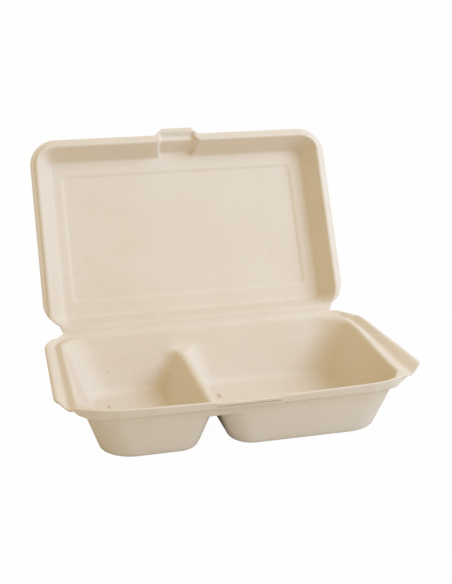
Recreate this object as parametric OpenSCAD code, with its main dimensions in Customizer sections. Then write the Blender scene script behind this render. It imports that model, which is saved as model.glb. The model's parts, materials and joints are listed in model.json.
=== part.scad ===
// Two-compartment clamshell box moulded in one piece from bagasse pulp.
// X runs along the hinge, Y from the front to the hinge, Z up from the table.
// The origin is on the table, under the middle of the tray.
// The tray and the lid are thin shells that meet at a pressed crease.
// The lid is drawn as it stands in the photo, leaning back from upright.

/* [Shell] */
// Thickness of the tray's moulded pulp
wall = 1.1; // [0.8:0.1:1.3]
// Thickness of the lid's moulded pulp
lid_wall = 0.8; // [0.6:0.1:1.1]
// Radius between a floor and its walls, inside the tray
floor_r = 6; // [4:0.5:8]
// Number of steps along each rounded floor edge
arc_steps = 5; // [3:1:8]

/* [Tray] */
// Width over the side flanges
tray_w = 250; // [235:1:265]
// Height of the rim bead above the table
rim_z = 42.6; // [38:0.2:48]
// Width between the rim beads, at their inner edge
mouth_w = 223; // [215:1:226]
// Distance from the middle to the front wall, at the rim
front_y = 73; // [66:1:78]
// Distance from the middle to the back wall, at the rim
back_y = 71; // [64:1:76]
// Radius of the corners of the mouth, at the rim
mouth_r = 26; // [24:1:30]
// Angle that the compartments' walls lean outward
draft = 18.7; // [15:0.1:21]
// Radius of the corners of the tray's outline
outline_r = 28; // [20:1:32]

/* [Divider] */
// Place of the divider across the box
divider_x = -20.5; // [-40:0.5:10]
// Height of the divider's crest above the table
divider_z = 30; // [26:0.5:34]
// Radius of the divider's rounded crest
crest_r = 4.5; // [3.5:0.1:5]

/* [Rim] */
// Depth of the groove beside the bead
groove = 1.4; // [0.8:0.1:1.8]
// Width of the slope from the bead into the groove
slope_w = 3.9; // [3:0.1:4.5]
// Rise of the flange from the groove to its outer lip
flange_rise = 4; // [3:0.1:4.2]
// Height of the turned-down lip at the sides
lip_h = 2.2; // [1.5:0.1:3]
// Height of the front skirt, from the bead's level down
skirt_h = 7.4; // [5:0.2:9]
// Depth of the shallow dip in the middle of the front edge
front_dip = 2.6; // [0:0.1:2.8]
// Length of the slit for the tongue
slit_w = 43; // [40:1:60]
// Height of the slit
slit_h = 1.2; // [1:0.1:1.4]

/* [Hinge] */
// Distance from the middle of the tray back to the crease
crease_y = 80.4; // [79.6:0.1:81]
// Height of the crease above the table
crease_z = 44.2; // [43.8:0.1:45]
// Length of the crease
crease_w = 214; // [190:1:216]
// Angle between the lid and the flat-open position
lid_angle = 63.3; // [0:0.1:180]

/* [Lid] */
// Width of the lid over its lip
lid_w = 241; // [236:1:242]
// Distance from the crease to the front lip of the lid
lid_l = 154.5; // [150:0.5:156]
// Depth from the lip to the ring around the panel
lid_depth = 17; // [14:0.5:22]
// Angle that the lid's walls lean outward
lid_draft = 27.9; // [20:0.1:28]
// Radius of the corners of the lid's outline
lid_r = 21; // [20:0.5:24]
// Width from the lid's lip to the inner edge of its bead
lid_rim_w = 6.5; // [6:0.1:7]
// Height of the lid's bead above its lip
lid_bead = 1.5; // [0.8:0.1:1.5]
// Step between the ring and the raised panel
panel_step = 2; // [1:0.1:3]
// Width of the raised panel
panel_w = 188.5; // [160:0.5:190]
// Distance from the crease to the near edge of the panel
panel_near_y = 26.5; // [20:0.5:40]
// Distance from the crease to the far edge of the panel
panel_far_y = 128.8; // [110:0.5:132]

/* [Tongue] */
// Place of the tongue and its pocket across the lid
tongue_x = -1.5; // [-10:0.5:10]
// Width of the tongue where it leaves the lip
tongue_root_w = 39; // [30:1:42]
// Width of the tongue at its tip
tongue_tip_w = 21; // [14:1:28]
// Length of the tongue past the lip
tongue_l = 5.4; // [4:0.1:8]
// Width of the pocket behind the tongue
pocket_w = 30; // [20:1:36]
// Depth of the pocket below the lip
pocket_depth = 5; // [3:0.5:8]

/* [Hidden] */
$fn = 96;

pulp = "#d9bd8f";
over = 20; // how far a cutting shape runs past what it cuts
hinge_gap = 0.2; // each side of the crease
slope = tan(draft);
lid_slope = tan(lid_draft);

flange_w = (tray_w - mouth_w) / 2;
path_r = 14; // corner radius of the rim bead's inner edge at the back
bead_w = 0.7;
groove_w = 1;
flange_knee = 0.62; // part of the flange's width that is its steeper stretch
flange_knee_rise = 0.68; // part of the rise that the steeper stretch makes
strip_y = crease_y - hinge_gap;
rim_back = 6.5; // width of the rim behind the mouth, without the hinge strip
rim_front = 1.5; // width of the rim in front of the mouth
outline_back = back_y + rim_back;
outline_front = front_y + rim_front;
lip_t = 1;
dip_half = 107; // half the length of the dip
dip_reach = 13; // how far the dip reaches in from the front wall
dip_r = front_dip > 0 ? dip_half * dip_half / (2 * front_dip) : 0;
mouth_slope = slope + 0.06; // the walls lean a little more above the divider
ledge_z = divider_z - crest_r * (1 - sin(draft)); // where the crest's curve begins
crest_bite = 0.1; // how far the crest's bar covers the top edges of its walls
ridge_half = crest_r * cos(draft) - crest_bite;
join_z = ledge_z + 1; // where the compartments' walls meet those of the mouth
slit_z = rim_z - skirt_h + 1.2;

lid_drop = 0.4; // how far the lid's lip lies below the crease
lid_path_r = lid_r - lid_rim_w;
lid_bead_w = 1.7;
lid_slope_w = 2;
lid_floor_r = 3;
lid_near = 4; // from the crease to the lid's near wall
lid_outline_near = 3.5;
panel_r = 4;
pocket_margin = 1.2;

// Points of a floor edge's arc and its wall, at a distance from the corner axis
function wall_points(r_top, z_top, z_floor, z_cap, k, r_edge) =
    let (root = sqrt(1 + k * k))
    let (cx = r_top + k * (z_floor + r_edge - z_top) - r_edge * root)
    let (cz = z_floor + r_edge)
    let (last = -atan(k))
    let (steps = r_edge > 0 ? arc_steps : 0)
    concat(
        [for (i = [0:steps]) let (a = -90 + (90 + last) * i / max(steps, 1))
            [cx + r_edge * cos(a), cz + r_edge * sin(a)]],
        [[r_top + k * (z_cap - z_top), z_cap]]
    );

// Solid with one section all round a rectangle whose corners turn about an axis.
// The children are the section, drawn outward from that axis.
module swept(x0, x1, y0, y1, r) {
    axes = [[x1 - r, y1 - r], [x0 + r, y1 - r], [x0 + r, y0 + r], [x1 - r, y0 + r]];
    runs = [y1 - y0 - 2 * r, x1 - x0 - 2 * r, y1 - y0 - 2 * r, x1 - x0 - 2 * r];
    for (i = [0:3]) {
        translate(axes[i]) rotate([0, 0, 90 * i]) {
            rotate_extrude(angle = 90) children();
            rotate([90, 0, 0]) linear_extrude(runs[i]) children();
        }
    }
}

// Drafted basin with rounded corners, and a rounded floor edge unless r_edge is 0.
// Its sizes x0 to y1 and r are those at the level z_top.
module basin(x0, x1, y0, y1, r, z_top, z_floor, z_cap, k, r_edge) {
    section = concat([[0, z_floor]], wall_points(r, z_top, z_floor, z_cap, k, r_edge), [[0, z_cap]]);
    swept(x0, x1, y0, y1, r) polygon(section);
    translate([x0 + r, y0 + r, z_floor]) cube([x1 - x0 - 2 * r, y1 - y0 - 2 * r, z_cap - z_floor]);
}

module rounded_rect(x0, x1, y0, y1, r) {
    translate([x0 + r, y0]) square([x1 - x0 - 2 * r, y1 - y0]);
    translate([x0, y0 + r]) square([x1 - x0, y1 - y0 - 2 * r]);
    for (x = [x0 + r, x1 - r], y = [y0 + r, y1 - r]) {
        translate([x, y]) circle(r);
    }
}

// Outline of the tray with its hinge strip, grown or shrunk by an amount
module tray_outline(grow) {
    half = tray_w / 2 + grow;
    rounded_rect(-half, half, -outline_front - grow, outline_back + grow, outline_r + grow);
}

module hinge_strip(y_end, side) {
    translate([-crease_w / 2 - side, 0]) square([crease_w + 2 * side, y_end]);
}

// Top of the rim as a solid: bead, groove and flange, filled down to z_base
module tray_rim_form(z_base, grow, strip_end) {
    bead = path_r + bead_w;
    groove_in = bead + slope_w;
    groove_out = groove_in + groove_w;
    left_over = flange_w - bead_w - slope_w - groove_w;
    knee = groove_out + flange_knee * left_over;
    section = [
        [0, z_base],
        [path_r + flange_w + over, z_base],
        [path_r + flange_w + over, rim_z - groove + flange_rise],
        [path_r + flange_w, rim_z - groove + flange_rise],
        [knee, rim_z - groove + flange_knee_rise * flange_rise],
        [groove_out, rim_z - groove],
        [groove_in, rim_z - groove],
        [bead, rim_z],
        [0, rim_z]
    ];
    x = mouth_w / 2;
    y0 = -front_y - 2 * over;
    intersection() {
        union() {
            swept(-x, x, y0, back_y, path_r) polygon(section);
            translate([path_r - x, y0 + path_r, z_base])
                cube([2 * (x - path_r), back_y - y0 - 2 * path_r, rim_z - z_base]);
        }
        translate([0, 0, z_base - over]) linear_extrude(rim_z - z_base + 2 * over) {
            tray_outline(grow);
            hinge_strip(strip_end, grow);
        }
    }
}

module front_dip_cut() {
    translate([0, -front_y + dip_reach, rim_z - front_dip + dip_r])
        rotate([90, 0, 0]) cylinder(r = dip_r, h = 3 * over, $fn = 720);
}

// Turned-down lip at the sides and the deeper skirt along the front
module tray_edge_band() {
    half = tray_w / 2;
    skirt_z = rim_z - skirt_h;
    side_z = rim_z - groove + flange_rise - lip_h;
    corner_x = half - outline_r;
    back_z = side_z - 1.4;
    difference() {
        union() {
            rotate([90, 0, 0]) linear_extrude(front_y + over)
                polygon([
                    [-half - over, side_z], [-half, side_z], [-corner_x, skirt_z], [corner_x, skirt_z],
                    [half, side_z], [half + over, side_z], [half + over, rim_z + over], [-half - over, rim_z + over]
                ]);
            translate([0, back_y + over, 0]) rotate([90, 0, 0]) linear_extrude(back_y + over)
                polygon([
                    [-half - over, side_z], [-half, side_z], [-corner_x, back_z], [corner_x, back_z],
                    [half, side_z], [half + over, side_z], [half + over, rim_z + over], [-half - over, rim_z + over]
                ]);
        }
        translate([0, 0, skirt_z - over]) linear_extrude(skirt_h + 3 * over) {
            tray_outline(-lip_t);
            hinge_strip(crease_y + 3 * over, -lip_t);
        }
    }
}

// The compartments as one solid, either inside (t = 0) or outside (t = wall)
module compartments(t) {
    root = sqrt(1 + slope * slope) * t;
    mouth_root = sqrt(1 + mouth_slope * mouth_slope) * t;
    shrink = mouth_slope * (rim_z - join_z);
    half = mouth_w / 2 - shrink + root;
    y0 = -front_y + shrink - root;
    y1 = back_y - shrink + root;
    r = mouth_r - shrink + root;
    side = slope * (join_z - ledge_z) - ridge_half + root;
    cap = join_z + 2 - t;
    edge = floor_r + t;
    mouth_half = mouth_w / 2 + mouth_root;
    basin(-half, divider_x + side, y0, y1, r, join_z, wall - t, cap, slope, edge);
    basin(divider_x - side, half, y0, y1, r, join_z, wall - t, cap, slope, edge);
    basin(-mouth_half, mouth_half, -front_y - mouth_root, back_y + mouth_root, mouth_r + mouth_root,
        rim_z, ledge_z - t, rim_z + over, mouth_slope, 0);
}

// Round bar along the divider
module crest_bar(r) {
    translate([divider_x, back_y + over, divider_z - crest_r])
        rotate([90, 0, 0]) cylinder(r = r, h = back_y + front_y + 2 * over);
}

module base_tray() {
    color(pulp)
    difference() {
        difference() {
            tray_rim_form(-over, 0, strip_y);
            front_dip_cut();
        }
        difference() {
            translate([0, 0, -wall]) difference() {
                tray_rim_form(-2 * over, 1, strip_y + over);
                front_dip_cut();
            }
            compartments(wall);
            tray_edge_band();
        }
        difference() {
            compartments(0);
            crest_bar(crest_r);
        }
        crest_bar(crest_r - wall + crest_bite);
        translate([tongue_x - slit_w / 2, -outline_front - over, slit_z])
            cube([slit_w, over + lip_t + 0.3, slit_h]);
    }
}

// Outline of the lid with its hinge strip and tongue, grown by an amount
module lid_outline(grow) {
    half = lid_w / 2 + grow;
    rounded_rect(-half, half, lid_outline_near - grow, lid_l + grow, lid_r + grow);
    translate([-crease_w / 2 - grow, hinge_gap - grow]) square([crease_w + 2 * grow, lid_r]);
    root = tongue_root_w / 2 + grow;
    tip = tongue_tip_w / 2 + grow;
    reach = tongue_l + grow;
    translate([tongue_x, lid_l])
        polygon([[-root, -over], [root, -over], [root, 0], [tip, reach], [-tip, reach], [-root, 0]]);
}

// Top of the lid's rim as a solid: bead and lip, level with the crease near it
module lid_rim_form(z_base, grow) {
    lip_z = -lid_drop;
    bead_z = lid_bead - lid_drop;
    bead = lid_path_r + lid_bead_w;
    section = [
        [0, z_base],
        [lid_r + over, z_base],
        [lid_r + over, lip_z],
        [bead + lid_slope_w, lip_z],
        [bead, bead_z],
        [0, bead_z]
    ];
    x = lid_w / 2 - lid_rim_w;
    y0 = -2 * over;
    y1 = lid_l - lid_rim_w;
    intersection() {
        union() {
            swept(-x, x, y0, y1, lid_path_r) polygon(section);
            translate([lid_path_r - x, y0 + lid_path_r, z_base])
                cube([2 * (x - lid_path_r), y1 - y0 - 2 * lid_path_r, bead_z - z_base]);
        }
        translate([0, 0, z_base - over]) linear_extrude(2 * over - z_base) lid_outline(grow);
        translate([-lid_w, 0, 0]) rotate([90, 0, 90]) linear_extrude(2 * lid_w)
            polygon([
                [-over, z_base - over], [-over, 0], [lid_near, 0], [3 * lid_near, 2 * bead_z],
                [lid_l + over, 2 * bead_z], [lid_l + over, z_base - over]
            ]);
    }
}

// The lid's hollow as a solid, either inside (t = 0) or outside (t = lid_wall)
module lid_bowl(t) {
    root = sqrt(1 + lid_slope * lid_slope) * t;
    half = lid_w / 2 - lid_rim_w + root;
    top_z = lid_bead - lid_drop;
    floor_z = -lid_depth - lid_drop;
    y1 = lid_l - lid_rim_w + root;
    basin(-half, half, lid_near - root, y1, lid_path_r + root, top_z, floor_z - t,
        top_z + over, lid_slope, lid_floor_r + t);
    translate([0, 0, floor_z - panel_step - t]) linear_extrude(panel_step + 2 * lid_wall)
        rounded_rect(-panel_w / 2 - t, panel_w / 2 + t, panel_near_y - t, panel_far_y + t, panel_r + t);
    pocket_y0 = lid_l - lid_rim_w - lid_depth / 2;
    translate([tongue_x - pocket_w / 2 - t, pocket_y0, -lid_drop - pocket_depth - t])
        cube([pocket_w + 2 * t, lid_l - pocket_margin - lid_wall + t - pocket_y0, pocket_depth + over]);
}

// The lid as it lies when the box is open flat, with the crease on the X axis
module lid_flat() {
    deep = -lid_depth - panel_step - over;
    difference() {
        lid_rim_form(deep, 0);
        difference() {
            translate([0, 0, -lid_wall]) lid_rim_form(deep - over, 1);
            lid_bowl(lid_wall);
        }
        lid_bowl(0);
    }
}

module lid() {
    color(pulp)
        translate([0, crease_y, crease_z]) rotate([lid_angle, 0, 0]) lid_flat();
}

base_tray();
lid();
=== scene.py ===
"""The looks of a two-compartment clamshell box pressed from bagasse pulp.

The tray and the lid are pressed sheets. Each is drawn as a height over its
plan, softened as wet pulp softens a mould's edges, and given its thickness.
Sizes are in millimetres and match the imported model, and MM turns them into metres.
"""
import json
import math

import bpy
import numpy as np
from mathutils import Matrix, Vector


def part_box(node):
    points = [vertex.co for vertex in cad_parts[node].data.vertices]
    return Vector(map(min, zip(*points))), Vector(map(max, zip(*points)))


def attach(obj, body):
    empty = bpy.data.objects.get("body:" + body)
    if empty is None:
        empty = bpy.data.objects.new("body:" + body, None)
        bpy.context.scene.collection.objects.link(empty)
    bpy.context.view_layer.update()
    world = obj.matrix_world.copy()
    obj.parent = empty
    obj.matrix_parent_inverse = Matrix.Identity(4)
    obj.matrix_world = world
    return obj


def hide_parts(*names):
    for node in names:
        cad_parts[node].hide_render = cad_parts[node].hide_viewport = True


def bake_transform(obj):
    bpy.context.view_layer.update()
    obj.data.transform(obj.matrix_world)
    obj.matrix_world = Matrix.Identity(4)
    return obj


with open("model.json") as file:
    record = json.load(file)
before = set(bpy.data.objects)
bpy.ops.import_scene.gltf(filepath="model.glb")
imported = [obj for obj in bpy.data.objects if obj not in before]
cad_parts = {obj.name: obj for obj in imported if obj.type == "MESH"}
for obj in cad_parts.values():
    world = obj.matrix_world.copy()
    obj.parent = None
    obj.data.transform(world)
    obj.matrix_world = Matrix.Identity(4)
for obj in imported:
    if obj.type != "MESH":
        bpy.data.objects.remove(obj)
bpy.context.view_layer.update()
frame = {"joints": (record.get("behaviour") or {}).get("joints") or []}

MM = 0.001

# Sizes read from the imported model
tray_low, tray_high = (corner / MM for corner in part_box("base_tray"))
crease = frame["joints"][0]
CREASE_Y, CREASE_Z = (crease["pos_m"][i] / MM for i in (1, 2))
LID_ANGLE = -crease["range_deg"][0]

# Tray. MOUTH_* is the path that the rim follows, and WALL_HALF is where the walls start.
TRAY_HALF = tray_high.x
TRAY_FRONT = tray_low.y
TRAY_BACK = 77.5
OUTLINE_R = 28
WALL = 1.1
RIM_Z = 42.6
MOUTH_HALF = 111.5
MOUTH_FRONT = -73
MOUTH_BACK = 71
MOUTH_R = 22
CORNER_SHRINK = 0.15
WALL_HALF = 110
DIVIDER_CORNER_R = (11, 15)
SLOPE = math.tan(math.radians(18.7))
MOUTH_SLOPE = SLOPE + 0.06
BEAD_ROUND = 5
BEAD_ROUND_X = (92, 102)
BEAD_ROUND_Y = (MOUTH_FRONT + 6, MOUTH_FRONT + 16)
TRAY_SOFT = 0.9
FLOOR_R = 6
LIP_T = 1

# Divider
DIVIDER_X = -20.5
DIVIDER_Z = 30
CREST_R = 4.5
LEDGE_Z = 26.9
RIDGE_HALF = 4.16
JOIN_Z = LEDGE_Z + 1
CREST_END = 47
CREST_FADE = 9
SADDLE_Z = 29.4
FILLET_SOFT = 3.2
FILLET_X = (10, 26)
FILLET_Y = ((42, 52), (62, 70))

# Rim. *_CORNER_IN draws the outline in at the distances *_CORNER_X from the middle;
# BACK_CORNER_IN has a row for the left corner and one for the right.
PATH_R = 14
FRONT_CORNER_X = (86, 92, 99, 105, 118, 122, 124.5)
FRONT_CORNER_IN = (0, 1, 2, 3, 3.2, 3, 1.5)
BACK_CORNER_X = (100, 108.2, 110, 112.5, 115, 117.5, 120.5, 122.5, 124, 124.9)
BACK_CORNER_IN = (
    (0, -4.4, -3.4, -2, -1.2, -0.8, 0, 0.3, 1, 0.8),
    (0, -4.4, -4.8, -4.4, -3, -1.2, 0, 0.5, 1, 0.8),
)
CORNER_PULL = 20
LEFT_FLARE = 0.02
LEFT_FLARE_FROM = 98
FLARE_REACH = 50
RIGHT_FLARE_FROM = 100
RIGHT_FLARE_Y = (-60, -43, -20, -6, 15, 36, 56)
RIGHT_BEAD_OUT = (-3.2, -3.3, -2, -1, 0.5, 2, 1)
RIGHT_EDGE_OUT = (3.8, 3.8, 3.3, 3, 2.2, 1.5, 1)
CORNER_RISE = ((8.5, 12.5), (41.2, 44.2))
CORNER_RISE_X = (110, 117)
CORNER_RISE_Y = (0, 30)
RIM_AT = (0, 0.9, 5, 5.9, 10.5, 11.4, 13.5)
RIM_HEIGHT = (42.9, 42.9, 41.2, 41.2, 44.2, 44.5, 43.9)
DIP = 2.6
DIP_R = 107 ** 2 / (2 * DIP)
DIP_END_Y = -60
SKIRT_Z = 35.2
SIDE_LIP_Z = 42.6
LIP_CORNER_X = (106, 112, 116)
LIP_CORNER_Z = 37.5
BACK_LIP_Z = 41.6
SKIRT_LEAN = 0.338
SLIT = (-23, 20.2)
SLIT_Z = (36.3, 37.5)
SLIT_DEEP = 0.85
SLIT_SAG = 0.8
SLIT_EASE = ((-3, 3), (-0.2, 1.2))

# Hinge
STRIP_HALF = 106.6
STRIP_FADE = 3.4
STRIP_PULL = 4
HINGE_GAP = 0.2
SKIN_T = 0.6
SKIN_DEPTH = 0.4
SKIN_ALONG = (0.6, 1.4, 2.2)

# Lid
LID_HALF = 120.5
LID_L = 154.5
LID_R = 21
LID_WALL = 0.8
LID_RIM_W = 6.5
LID_DROP = 0.4
LID_BEAD = 1.5
LID_DEPTH = 17
LID_SLOPE = math.tan(math.radians(27.9))
LID_FLOOR_R = 3
LID_NEAR = 4
LID_OUTLINE_NEAR = 3.5
LID_FAR_RUN = 7.7 / 10.3
LID_FAR_STEEP = 10
LID_FAR_EASE = 60
LID_BEYOND = 900
LID_RIM_AT = (0, 2.4, 3.7, 4.3, LID_RIM_W)
LID_SOFT = 0.8
LID_PULL = 3
PANEL_X = (-96, 94.2)
PANEL = (26.5, 128.8)
PANEL_R = 4
PANEL_STEP = 1.2
PANEL_STEP_W = 1.6
PANEL_GROOVE = 0.5
PANEL_GROOVE_AT = -0.2
PANEL_GROOVE_W = 0.8
TONGUE_X = -1.5
TONGUE_ROOT = 19.5
TONGUE_TIP = 10.5
TONGUE_L = 5.4
TONGUE_PULL = 2.8
POCKET = (-14.8, 11.6)
POCKET_END = 155
POCKET_Z = -4.2
POCKET_BACK = 4.2
POCKET_STEEP = (4, 2.5, 5)
LID_LIP_FALL = 0.9

# Brown smudges and flecks in the pulp. The second entry is no smudge but painted shade: it
# darkens the floor in the corner at the foot of the divider's right face.
SMUDGES_AND_CORNER_SHADE = (
    ((-81.1, 30.5, 1.1), (1.3, 5, 2)),
    # painted shade in the corner between the floor and the divider's right face
    ((2.2, 29.8, 1.5), (2.2, 7, 3)),
    ((-26.1, 46.5, 22.2), (0.9, 1, 1.4)),
    ((-76.8, 62, 17), (1.2, 1.5, 1.2)),
)
SMUDGE_AND_SHADE_COLOUR = (0.74, 0.62, 0.48)
FLECK = (0.86, 0.8, 0.7)

# Turned-down edges
EDGE_ROUND = 0.6
EDGE_TURNS = (30, 60, 90)
EDGE_LEAST = 0.6
RING_GAP = 0.04
SLIT_CLEAR = 0.3

# Light and floor
KEY_TOWARDS = (0.62, -0.42, 0.66)
KEY_AWAY = 1.3
KEY_SIZE = 0.85
KEY_ENERGY = 13.8
KEY_COLOUR = (0.52, 0.68, 1)
SKY_COLOUR = (1, 0.83, 0.52, 1)
SKY_STRENGTH = 0.69
FLOOR_ALBEDO = 0.75
FLOOR_GLOW = 0.98
FLOOR_HALF = 60
FLOOR_Z = -0.0002

# The photograph's camera
CAMERA_AT = (-165.465, -691.398, 304.110)
CAMERA_TURN = (13.566, 16.652, -0.787)
FOCAL_PX, LONG_SIDE_PX, SENSOR = 1056.27, 584, 36


def box_distance(x, y, x0, x1, y0, y1, r):
    """Signed distance to a rectangle with round corners, negative inside."""
    qx = np.abs(x - (x0 + x1) / 2) - (x1 - x0) / 2 + r
    qy = np.abs(y - (y0 + y1) / 2) - (y1 - y0) / 2 + r
    outside = np.hypot(np.maximum(qx, 0), np.maximum(qy, 0))
    return outside + np.minimum(np.maximum(qx, qy), 0) - r


def pressed_distance(x, y, x0, x1, y0, y1, r):
    """Like box_distance, but its round corners keep most of their radius further in."""
    a = (x1 - x0) / 2 - np.abs(x - (x0 + x1) / 2)
    b = (y1 - y0) / 2 - np.abs(y - (y0 + y1) / 2)
    k, m = CORNER_SHRINK, 1 - CORNER_SHRINK
    ca, cb = r - a, r - b
    p = 2 * m * m - k * k
    q = 2 * m * (ca + cb) + 2 * k * r
    c = ca * ca + cb * cb - r * r
    root = np.sqrt(np.maximum(q * q - 4 * p * c, 0))
    inward = (root - q) / (2 * p)
    in_corner = (ca + m * inward > 0) & (cb + m * inward > 0)
    return -np.where(in_corner, inward, np.minimum(a, b))


def smooth_min(a, b, k):
    """The lesser of a and b, rounded where they meet."""
    near = np.maximum(k - np.abs(a - b), 0)
    return np.minimum(a, b) - near * near / (4 * np.maximum(k, 1e-6))


def basin_height(d, z_top, z_floor, slope, edge):
    """Height of a drafted basin at distance d from its outline at z_top."""
    root = math.sqrt(1 + slope * slope)
    arc_start = slope * (z_floor + edge - z_top) - edge * root
    arc_run = edge / root
    run = np.clip(d - arc_start, 0, arc_run)
    arc = z_floor + edge - np.sqrt(edge * edge - run * run)
    return np.where(d < arc_start + arc_run, arc, z_top + d / slope)


def step(x, low, high):
    """Smooth rise from 0 at low to 1 at high."""
    t = np.clip((x - low) / (high - low), 0, 1)
    return t * t * (3 - 2 * t)


def softened(height, x, y, reach):
    """The height averaged over a small round neighbourhood."""
    weights = np.array((1, 4, 6, 4, 1)) / 16
    offsets = np.linspace(-reach, reach, len(weights))
    total = np.zeros_like(x)
    for wx, dx in zip(weights, offsets):
        for wy, dy in zip(weights, offsets):
            total += wx * wy * height(x + dx, y + dy)
    return total


def tray_form(x, y):
    """The tray's upper face with sharp edges."""
    shrink = MOUTH_SLOPE * (RIM_Z - JOIN_Z)
    half = WALL_HALF - shrink
    front, back = MOUTH_FRONT + shrink, MOUTH_BACK - shrink
    r = MOUTH_R - CORNER_SHRINK * shrink
    side = SLOPE * (JOIN_Z - LEDGE_Z) - RIDGE_HALF
    small_r = np.where(x > (DIVIDER_X - half) / 2, DIVIDER_CORNER_R[0], r)
    large_r = np.where(x < (DIVIDER_X + half) / 2, DIVIDER_CORNER_R[1], r)
    small = pressed_distance(x, y, -half, DIVIDER_X + side, front, back, small_r)
    large = pressed_distance(x, y, DIVIDER_X - side, half, front, back, large_r)
    mouth = pressed_distance(
        x, y, -WALL_HALF, WALL_HALF, MOUTH_FRONT, MOUTH_BACK, MOUTH_R
    )
    hollow = basin_height(np.minimum(small, large), JOIN_Z, WALL, SLOPE, FLOOR_R)
    crest_end = step(np.abs(y), CREST_END, CREST_END + CREST_FADE)
    ledge = LEDGE_Z + (SADDLE_Z - LEDGE_Z) * crest_end
    hollow = np.minimum(hollow, np.maximum(RIM_Z + mouth / MOUTH_SLOPE, ledge))
    across = np.minimum(np.abs(x - DIVIDER_X), CREST_R)
    crest = DIVIDER_Z - CREST_R + np.sqrt(CREST_R ** 2 - across ** 2) - 2 * crest_end
    hollow = np.where(across < CREST_R, np.maximum(hollow, crest), hollow)
    path = box_distance(x, y, -MOUTH_HALF, MOUTH_HALF, 4 * MOUTH_FRONT, MOUTH_BACK, PATH_R)
    rim = np.interp(path, RIM_AT, RIM_HEIGHT)
    outer_r = OUTLINE_R - RIM_AT[-1]
    outer = box_distance(
        x, y, -MOUTH_HALF, MOUTH_HALF, 4 * MOUTH_FRONT, TRAY_BACK - RIM_AT[-1], outer_r
    )
    low, rise = CORNER_RISE[1][0], np.interp(outer, *CORNER_RISE)
    at_corner = step(np.abs(x), *CORNER_RISE_X) * step(y, *CORNER_RISE_Y)
    rim = np.maximum(rim, low + (rise - low) * at_corner)
    into, out_of = (
        step(x, end + ease[0], end + ease[1]) for end, ease in zip(SLIT, SLIT_EASE)
    )
    at_slit = into * (1 - out_of)
    dip = RIM_Z - DIP + x * x / (2 * DIP_R) + SLIT_SAG * (0.5 - at_slit)
    rim = np.where(y < DIP_END_Y, np.minimum(rim, dip), rim)
    bead = BEAD_ROUND * step(np.abs(x), *BEAD_ROUND_X) * step(y, *BEAD_ROUND_Y)
    return smooth_min(rim, hollow, bead)


def tray_height(x, y):
    """The tray's upper face: crisp edges, and wide fillets where the divider ends."""
    near = 1 - step(np.abs(x - DIVIDER_X), *FILLET_X)
    ends = step(np.abs(y), *FILLET_Y[0]) * (1 - step(np.abs(y), *FILLET_Y[1]))
    wide = near * ends
    crisp, fillet = (softened(tray_form, x, y, reach) for reach in (TRAY_SOFT, FILLET_SOFT))
    return crisp * (1 - wide) + fillet * wide


def lid_form(x, v):
    """The lid's inner face with sharp edges, v being the distance from the crease."""
    half, far = LID_HALF - LID_RIM_W, LID_L - LID_RIM_W
    r = LID_R - LID_RIM_W
    bead_z = LID_BEAD - LID_DROP
    floor_z = -LID_DEPTH - LID_DROP
    inward = far - v
    steep = np.interp(
        inward, (0, LID_FAR_STEEP, LID_FAR_EASE, LID_BEYOND),
        (0, LID_FAR_STEEP / LID_FAR_RUN, LID_FAR_EASE, LID_BEYOND),
    )
    drawn = far - np.where(inward > 0, steep, inward)
    bowl = basin_height(
        box_distance(x, drawn, -half, half, LID_NEAR, far, r),
        bead_z, floor_z, LID_SLOPE, LID_FLOOR_R,
    )
    panel = box_distance(x, v, *PANEL_X, *PANEL, PANEL_R)
    bowl = bowl - PANEL_STEP * (1 - step(panel, -PANEL_STEP_W, 0))
    groove = 1 - np.abs(panel - PANEL_GROOVE_AT) / PANEL_GROOVE_W
    bowl = bowl - PANEL_GROOVE * np.maximum(groove, 0)
    behind = basin_height(
        (v - far - POCKET_BACK) / LID_FAR_RUN, bead_z, floor_z, LID_SLOPE, LID_FLOOR_R
    )
    left, right, ends = POCKET_STEEP
    sides = np.maximum(left * (POCKET[0] - x), right * (x - POCKET[1]))
    sides = np.maximum(np.maximum(sides, ends * (v - POCKET_END)), 0)
    sides = np.maximum(sides, ends * (LID_L / 2 - v))
    bowl = np.minimum(bowl, np.minimum(behind, POCKET_Z) + sides)
    path = box_distance(x, v, -half, half, -far, far, r)
    lip_z = -LID_DROP - LID_LIP_FALL
    rim = np.interp(path, LID_RIM_AT, (bead_z, bead_z, -LID_DROP, -LID_DROP, lip_z))
    rim = np.minimum(rim, np.maximum(0, bead_z * (v - LID_NEAR) / LID_NEAR))
    return np.minimum(rim, bowl)


def lid_height(x, v):
    """The lid's inner face, softened."""
    return softened(lid_form, x, v, LID_SOFT)


def tray_shift(x, y):
    """How far the back edge is drawn out to the crease, and the corners in or out."""
    side = np.abs(x)
    corner = np.maximum(side - (TRAY_HALF - OUTLINE_R), 0)
    arc = np.sqrt(np.maximum(OUTLINE_R ** 2 - corner ** 2, 0))
    back, front = TRAY_BACK - OUTLINE_R + arc, TRAY_FRONT + OUTLINE_R - arc
    strip = 1 - step(side, STRIP_HALF, STRIP_HALF + STRIP_FADE)
    out = (CREASE_Y - HINGE_GAP - back) * strip
    out = out * np.clip((y - back + STRIP_PULL) / STRIP_PULL, 0, 1)
    left_in, right_in = (np.interp(side, BACK_CORNER_X, drawn) for drawn in BACK_CORNER_IN)
    back_in = np.where(x < 0, left_in, right_in) * (1 - strip)
    back_in = back_in * np.clip((y - back + CORNER_PULL) / CORNER_PULL, 0, 1)
    front_in = np.interp(side, FRONT_CORNER_X, FRONT_CORNER_IN)
    front_in = front_in * np.clip((front + CORNER_PULL - y) / CORNER_PULL, 0, 1)
    return out - back_in + front_in


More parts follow.
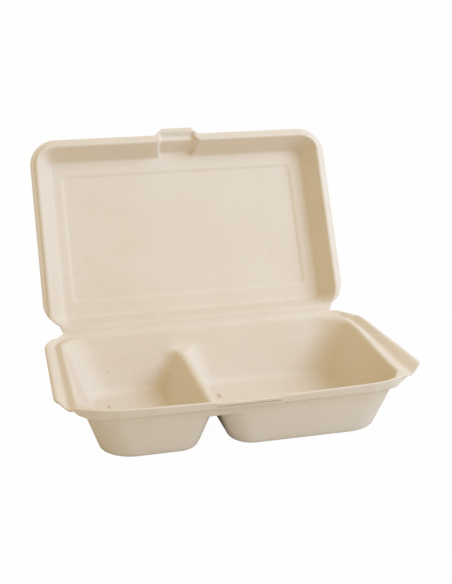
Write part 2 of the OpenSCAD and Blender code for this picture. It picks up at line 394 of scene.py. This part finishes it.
def lid_shift(x, v):
    """How far the near edge is drawn out to the crease, and the far edge to the tongue."""
    corner = np.maximum(np.abs(x) - (LID_HALF - LID_R), 0)
    edge = LID_OUTLINE_NEAR + LID_R - np.sqrt(np.maximum(LID_R ** 2 - corner ** 2, 0))
    near = (HINGE_GAP - edge) * (1 - step(np.abs(x), STRIP_HALF, STRIP_HALF + STRIP_FADE))
    near = near * np.clip((edge + LID_PULL - v) / LID_PULL, 0, 1)
    reach = 1 - step(np.abs(x - TONGUE_X), TONGUE_TIP, TONGUE_ROOT)
    return near + TONGUE_L * reach * np.clip((v - LID_L + TONGUE_PULL) / TONGUE_PULL, 0, 1)


def lines(*stretches):
    """Grid lines from (start, end, spacing) stretches that follow each other."""
    parts = [
        np.linspace(a, b, max(2, round((b - a) / gap) + 1))[:-1] for a, b, gap in stretches
    ]
    return np.concatenate(parts + [[stretches[-1][1]]])


def thickened(height, x, y, thick):
    """Height of the lower face, a sheet's thickness away from the upper one."""
    reach = 0.3
    gx = (height(x + reach, y) - height(x - reach, y)) / (2 * reach)
    gy = (height(x, y + reach) - height(x, y - reach)) / (2 * reach)
    return height(x, y) - thick * np.sqrt(1 + gx * gx + gy * gy)


def pressed_sheet(xs, ys, r, height, shift, thick, edge, lip_z, lean=0, slit=False):
    """Vertices and faces of a closed pressed sheet.

    xs and ys are grid lines over the outline drawn in by edge, r is its corner radius,
    and lip_z gives the height of the turned-down edge at a point of the outline. The
    turned-down edge leans inwards by lean, and slit presses the slit for the tongue into it.
    """
    nx, ny = len(xs), len(ys)
    x, y = (a.ravel() for a in np.meshgrid(xs, ys))
    cx, cy = (xs[0] + xs[-1]) / 2, (ys[0] + ys[-1]) / 2
    px = np.maximum(np.abs(x - cx) - (xs[-1] - cx) + r, 0)
    py = np.maximum(np.abs(y - cy) - (ys[-1] - cy) + r, 0)
    sx, sy = np.sign(x - cx), np.sign(y - cy)
    long = np.maximum(np.hypot(px, py), 1e-9)
    squeeze = np.where((px > 0) & (py > 0), np.maximum(px, py) / long, 1)
    x, y = x - sx * px * (1 - squeeze), y - sy * py * (1 - squeeze)

    walk = np.concatenate([
        np.arange(nx), np.arange(1, ny) * nx + nx - 1,
        (ny - 1) * nx + np.arange(nx - 2, -1, -1), np.arange(ny - 2, 0, -1) * nx,
    ])
    normal_x, normal_y = (sx * px / long)[walk], (sy * py / long)[walk]
    edge_x, edge_y = x[walk], y[walk]
    y = y + shift(x, y)
    top = height(x, y)
    under = thickened(height, x, y, thick)

    round_r = EDGE_ROUND * edge
    rows = [(edge - round_r, 0.0)]
    for turn in (*EDGE_TURNS, EDGE_TURNS[-1] + math.degrees(math.atan(lean))):
        a = math.radians(turn)
        rows.append((edge - round_r + round_r * math.sin(a), round_r * (1 - math.cos(a))))
    points = [np.stack([x, y, top], 1), np.stack([x, y, under], 1)]
    rings = []
    for out, drop in rows:
        rx, ry = edge_x + out * normal_x, edge_y + out * normal_y
        ry = ry + shift(rx, ry)
        rings.append(np.stack([rx, ry, height(rx, ry) - drop], 1))
    outer = rings[-1]
    low = np.minimum(lip_z(outer[:, 0], outer[:, 1]), outer[:, 2] - EDGE_LEAST)
    start = outer[:, 2]
    deep = SLIT_DEEP * np.where((outer[:, 0] > SLIT[0]) & (outer[:, 0] < SLIT[1]), slit, 0)
    deep = np.where(outer[:, 1] < 0, deep, 0)
    bottom, top_z = (
        np.clip(np.full_like(low, z), low + SLIT_CLEAR, start - SLIT_CLEAR) for z in SLIT_Z
    )
    gap = RING_GAP
    levels = [
        (start - 4 * gap, 0), (top_z + gap, 0), (top_z, 0), (top_z - gap, 1),
        (bottom + gap, 1), (bottom, 0), (bottom - gap, 0), (low + 2 * gap, 0), (low, 0),
    ]
    for z, share in levels:
        inward = lean * (start - z) + deep * share
        ring_x, ring_y = outer[:, 0] - inward * normal_x, outer[:, 1] - inward * normal_y
        rings.append(np.stack([ring_x, ring_y, z], 1))
    last = rings[-1]
    inner_x, inner_y = edge_x, edge_y + shift(edge_x, edge_y)
    inner_top = under[walk]
    foot_x = last[:, 0] + inner_x - outer[:, 0]
    foot_y = last[:, 1] + inner_y - outer[:, 1]
    foot_z = np.minimum(low + 0.3 * edge, inner_top - 0.02)
    foot = np.stack([foot_x, foot_y, foot_z], 1)
    inner = np.stack([inner_x, inner_y, inner_top], 1)
    for t, z in ((0.25, low), (0.75, low), (1.0, foot_z)):
        ring = last * (1 - t) + foot * t
        ring[:, 2] = z
        rings.append(ring)
    for t in (0.33, 0.66):
        rings.append(foot * (1 - t) + inner * t)

    count = nx * ny
    verts = np.concatenate(points + rings)
    i, j = np.meshgrid(np.arange(nx - 1), np.arange(ny - 1))
    a = (j * nx + i).ravel()
    faces = [np.stack([a, a + 1, a + nx + 1, a + nx], 1)]
    faces.append(np.stack([a, a + nx, a + nx + 1, a + 1], 1) + count)
    stations = len(walk)
    loops = [walk] + [2 * count + k * stations + np.arange(stations) for k in range(len(rings))]
    loops.append(walk + count)
    for upper, lower in zip(loops, loops[1:]):
        faces.append(np.stack([upper, lower, np.roll(lower, -1), np.roll(upper, -1)], 1))
    return verts, np.concatenate(faces)


def mesh_object(name, verts, faces, material):
    mesh = bpy.data.meshes.new(name)
    mesh.from_pydata((verts * MM).tolist(), [], faces.tolist())
    mesh.polygons.foreach_set("use_smooth", np.ones(len(mesh.polygons), bool))
    mesh.update()
    obj = bpy.data.objects.new(name, mesh)
    bpy.context.scene.collection.objects.link(obj)
    mesh.materials.append(material)
    return obj


def tray_lip(x, y):
    """Height of the tray's turned-down edge: a skirt in front and a lip elsewhere."""
    side = np.abs(x)
    front = np.interp(side, LIP_CORNER_X, (SKIRT_Z, LIP_CORNER_Z, SIDE_LIP_Z))
    back = np.interp(side, (TRAY_HALF - OUTLINE_R, TRAY_HALF), (BACK_LIP_Z, SIDE_LIP_Z))
    return np.where(y < 0, front, back)


def make_tray(material):
    fine = 0.6
    half, front, back = TRAY_HALF - LIP_T, TRAY_FRONT + LIP_T, TRAY_BACK - LIP_T
    xs = lines(
        (-half, -96, fine), (-96, -82, 1.2), (-82, -48, 2.5), (-48, 24, 0.9),
        (24, 80, 3), (80, 96, 1.2), (96, half, fine),
    )
    ys = lines((front, -46, fine), (-46, 48, 2), (48, back, fine))
    verts, faces = pressed_sheet(
        xs, ys, OUTLINE_R - LIP_T, tray_height, tray_shift, WALL, LIP_T, tray_lip,
        SKIRT_LEAN, True,
    )
    # In the photograph the side flanges are not quite straight, the right one least
    x, y = verts[:, 0].copy(), verts[:, 1]
    left = LEFT_FLARE * step(-x, LEFT_FLARE_FROM, TRAY_HALF)
    left = left * np.clip(y, -FLARE_REACH, FLARE_REACH)
    at_edge = np.clip((x - MOUTH_HALF) / (TRAY_HALF - MOUTH_HALF), 0, 1)
    at_bead = step(x, RIGHT_FLARE_FROM, MOUTH_HALF) * (1 - at_edge)
    bead_out = np.interp(y, RIGHT_FLARE_Y, RIGHT_BEAD_OUT)
    edge_out = np.interp(y, RIGHT_FLARE_Y, RIGHT_EDGE_OUT)
    verts[:, 0] += left + at_bead * bead_out + at_edge * edge_out
    return mesh_object("pressed_tray", verts, faces, material)


def lid_to_row(verts):
    """Turns the flat lid up about the crease."""
    a = math.radians(LID_ANGLE)
    y, z = verts[:, 1].copy(), verts[:, 2].copy()
    verts[:, 1] = CREASE_Y + y * math.cos(a) - z * math.sin(a)
    verts[:, 2] = CREASE_Z + y * math.sin(a) + z * math.cos(a)
    return verts


def make_lid(material):
    edge = LID_WALL
    half, near, far = LID_HALF - edge, LID_OUTLINE_NEAR + edge, LID_L - edge
    xs = lines(
        (-half, -91, 0.6), (-91, -24, 3.5), (-24, 21, 0.75), (21, 91, 3.5), (91, half, 0.6)
    )
    ys = lines((near, 30, 0.6), (30, 125, 3.2), (125, far, 0.5))
    verts, faces = pressed_sheet(
        xs, ys, LID_R - edge, lid_height, lid_shift, LID_WALL, edge,
        lambda x, y: np.full_like(x, LID_BEYOND),
    )
    return mesh_object("pressed_lid", lid_to_row(verts), faces, material)


def make_crease(material):
    """The thin skin that bends between the tray and the lid."""
    a = math.radians(LID_ANGLE)
    tray_z = float(tray_height(np.zeros(1), np.full(1, CREASE_Y - 1))[0])
    middle = [
        (CREASE_Y - 1, tray_z - 0.3), (CREASE_Y - SKIN_DEPTH, tray_z),
        (CREASE_Y, CREASE_Z - SKIN_DEPTH),
    ]
    for along in SKIN_ALONG:
        middle.append((
            CREASE_Y + along * math.cos(a) + SKIN_DEPTH * math.sin(a),
            CREASE_Z + along * math.sin(a) - SKIN_DEPTH * math.cos(a),
        ))
    middle = np.array(middle)
    run = np.gradient(middle, axis=0)
    run /= np.linalg.norm(run, axis=1)[:, None]
    normal = np.stack([-run[:, 1], run[:, 0]], 1)
    ring = np.concatenate([middle + normal * SKIN_T / 2, (middle - normal * SKIN_T / 2)[::-1]])
    xs = lines((-STRIP_HALF, STRIP_HALF, 3))
    verts = np.concatenate([np.column_stack([np.full(len(ring), x), ring]) for x in xs])
    n = len(ring)
    faces = []
    for i in range(len(xs) - 1):
        for k in range(n):
            k2 = (k + 1) % n
            faces.append([i * n + k, i * n + k2, (i + 1) * n + k2, (i + 1) * n + k])
    return mesh_object("crease_skin", verts, np.array(faces), material)


def nodes_of(material):
    material.use_nodes = True
    tree = material.node_tree
    return tree, tree.nodes, tree.links


def pulp_material():
    material = bpy.data.materials.new("bagasse_pulp")
    tree, nodes, links = nodes_of(material)
    shader = nodes["Principled BSDF"]
    place = nodes.new("ShaderNodeTexCoord").outputs["Object"]

    def noise(scale, detail, rough, vector=place):
        node = nodes.new("ShaderNodeTexNoise")
        node.inputs["Scale"].default_value = scale
        node.inputs["Detail"].default_value = detail
        node.inputs["Roughness"].default_value = rough
        links.new(vector, node.inputs["Vector"])
        return node.outputs["Fac"]

    def ramp(value, stops):
        node = nodes.new("ShaderNodeValToRGB")
        links.new(value, node.inputs["Fac"])
        while len(node.color_ramp.elements) < len(stops):
            node.color_ramp.elements.new(0.5)
        for element, (at, colour) in zip(node.color_ramp.elements, stops):
            element.position = at
            element.color = (*colour, 1)
        return node.outputs["Color"]

    def multiply(a, b, amount=1.0):
        node = nodes.new("ShaderNodeMix")
        node.data_type = "RGBA"
        node.blend_type = "MULTIPLY"
        node.inputs["Factor"].default_value = amount
        links.new(a, node.inputs["A"])
        links.new(b, node.inputs["B"])
        return node.outputs["Result"]

    def from_centre(centre, radii):
        offset = nodes.new("ShaderNodeVectorMath")
        offset.operation = "SUBTRACT"
        links.new(place, offset.inputs[0])
        offset.inputs[1].default_value = [c * MM for c in centre]
        scaled = nodes.new("ShaderNodeVectorMath")
        scaled.operation = "DIVIDE"
        links.new(offset.outputs[0], scaled.inputs[0])
        scaled.inputs[1].default_value = [r * MM for r in radii]
        away = nodes.new("ShaderNodeVectorMath")
        away.operation = "LENGTH"
        links.new(scaled.outputs[0], away.inputs[0])
        return away.outputs["Value"]

    cloud = noise(28, 3, 0.5)
    colour = ramp(cloud, [(0.3, (0.79, 0.7, 0.575)), (0.7, (0.81, 0.73, 0.615))])
    fibre = noise(900, 5, 0.7)
    colour = multiply(colour, ramp(fibre, [(0.3, (0.95, 0.94, 0.925)), (0.62, (1, 1, 1))]))
    # each entry darkens the pulp; the second one is painted shade in the corner at the
    # divider's foot
    for centre, radii in SMUDGES_AND_CORNER_SHADE:
        spot = ramp(from_centre(centre, radii), [(0.25, SMUDGE_AND_SHADE_COLOUR), (1, (1, 1, 1))])
        colour = multiply(colour, spot)
    cells = nodes.new("ShaderNodeTexVoronoi")
    cells.inputs["Scale"].default_value = 110
    links.new(place, cells.inputs["Vector"])
    flecks = ramp(cells.outputs["Distance"], [(0.03, FLECK), (0.07, (1, 1, 1))])
    colour = multiply(colour, flecks)
    links.new(colour, shader.inputs["Base Color"])

    shader.inputs["Specular IOR Level"].default_value = 0.25
    links.new(ramp(fibre, [(0.3, (0.92,) * 3), (0.7, (0.74,) * 3)]), shader.inputs["Roughness"])
    bump = nodes.new("ShaderNodeBump")
    bump.inputs["Strength"].default_value = 0.35
    bump.inputs["Distance"].default_value = 0.0004
    links.new(fibre, bump.inputs["Height"])
    links.new(bump.outputs["Normal"], shader.inputs["Normal"])
    return material


def make_floor():
    material = bpy.data.materials.new("white_floor")
    tree, nodes, links = nodes_of(material)
    shader = nodes["Principled BSDF"]
    shader.inputs["Base Color"].default_value = (FLOOR_ALBEDO, FLOOR_ALBEDO, FLOOR_ALBEDO, 1)
    shader.inputs["Roughness"].default_value = 0.9
    shader.inputs["Specular IOR Level"].default_value = 0
    glow = nodes.new("ShaderNodeEmission")
    rays = nodes.new("ShaderNodeLightPath")
    share = nodes.new("ShaderNodeMath")
    share.operation = "MULTIPLY"
    share.inputs[1].default_value = FLOOR_GLOW
    links.new(rays.outputs["Is Camera Ray"], share.inputs[0])
    mix = nodes.new("ShaderNodeMixShader")
    links.new(share.outputs[0], mix.inputs[0])
    links.new(shader.outputs[0], mix.inputs[1])
    links.new(glow.outputs[0], mix.inputs[2])
    links.new(mix.outputs[0], nodes["Material Output"].inputs["Surface"])
    half = FLOOR_HALF
    mesh = bpy.data.meshes.new("floor")
    corners = [
        (x, y, FLOOR_Z) for x, y in ((-half, -half), (half, -half), (half, half), (-half, half))
    ]
    mesh.from_pydata(corners, [], [(0, 1, 2, 3)])
    mesh.materials.append(material)
    floor = bpy.data.objects.new("floor", mesh)
    bpy.context.scene.collection.objects.link(floor)


def make_light():
    world = bpy.data.worlds.new("studio")
    bpy.context.scene.world = world
    world.use_nodes = True
    nodes, links = world.node_tree.nodes, world.node_tree.links
    soft = nodes["Background"]
    soft.inputs["Color"].default_value = SKY_COLOUR
    soft.inputs["Strength"].default_value = SKY_STRENGTH
    white = nodes.new("ShaderNodeBackground")
    white.inputs["Color"].default_value = (1, 1, 1, 1)
    white.inputs["Strength"].default_value = 1
    rays = nodes.new("ShaderNodeLightPath")
    mix = nodes.new("ShaderNodeMixShader")
    links.new(rays.outputs["Is Camera Ray"], mix.inputs[0])
    links.new(soft.outputs[0], mix.inputs[1])
    links.new(white.outputs[0], mix.inputs[2])
    links.new(mix.outputs[0], nodes["World Output"].inputs["Surface"])

    lamp = bpy.data.lights.new("key", "AREA")
    lamp.shape = "DISK"
    lamp.size = KEY_SIZE
    lamp.energy = KEY_ENERGY
    lamp.color = KEY_COLOUR
    key = bpy.data.objects.new("key", lamp)
    bpy.context.scene.collection.objects.link(key)
    towards = Vector(KEY_TOWARDS).normalized()
    key.location = towards * KEY_AWAY
    key.rotation_euler = towards.to_track_quat("Z", "Y").to_euler()
    key.visible_camera = False


def make_camera():
    """The photograph's view, as found by fitting the box's own corners."""
    azimuth, elevation, roll = (math.radians(a) for a in CAMERA_TURN)
    forward = Vector((
        math.sin(azimuth) * math.cos(elevation),
        math.cos(azimuth) * math.cos(elevation),
        -math.sin(elevation),
    ))
    right = Vector((math.cos(azimuth), -math.sin(azimuth), 0))
    up = right.cross(forward)
    right, up = (
        math.cos(roll) * right + math.sin(roll) * up,
        math.cos(roll) * up - math.sin(roll) * right,
    )
    data = bpy.data.cameras.new("camera")
    data.sensor_width = SENSOR
    data.lens = FOCAL_PX * SENSOR / LONG_SIDE_PX
    camera = bpy.data.objects.new("camera", data)
    bpy.context.scene.collection.objects.link(camera)
    turn = Matrix((right, up, -forward)).transposed().to_4x4()
    camera.matrix_world = Matrix.Translation(Vector(CAMERA_AT) * MM) @ turn
    bpy.context.scene.camera = camera


make_camera()
make_light()
make_floor()
bpy.context.scene.view_settings.view_transform = "Standard"

pulp = pulp_material()
tray = make_tray(pulp)
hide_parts("base_tray")
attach(tray, "tray")

lid = make_lid(pulp)
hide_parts("lid")
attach(lid, "lid")

skin = make_crease(pulp)
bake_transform(skin)
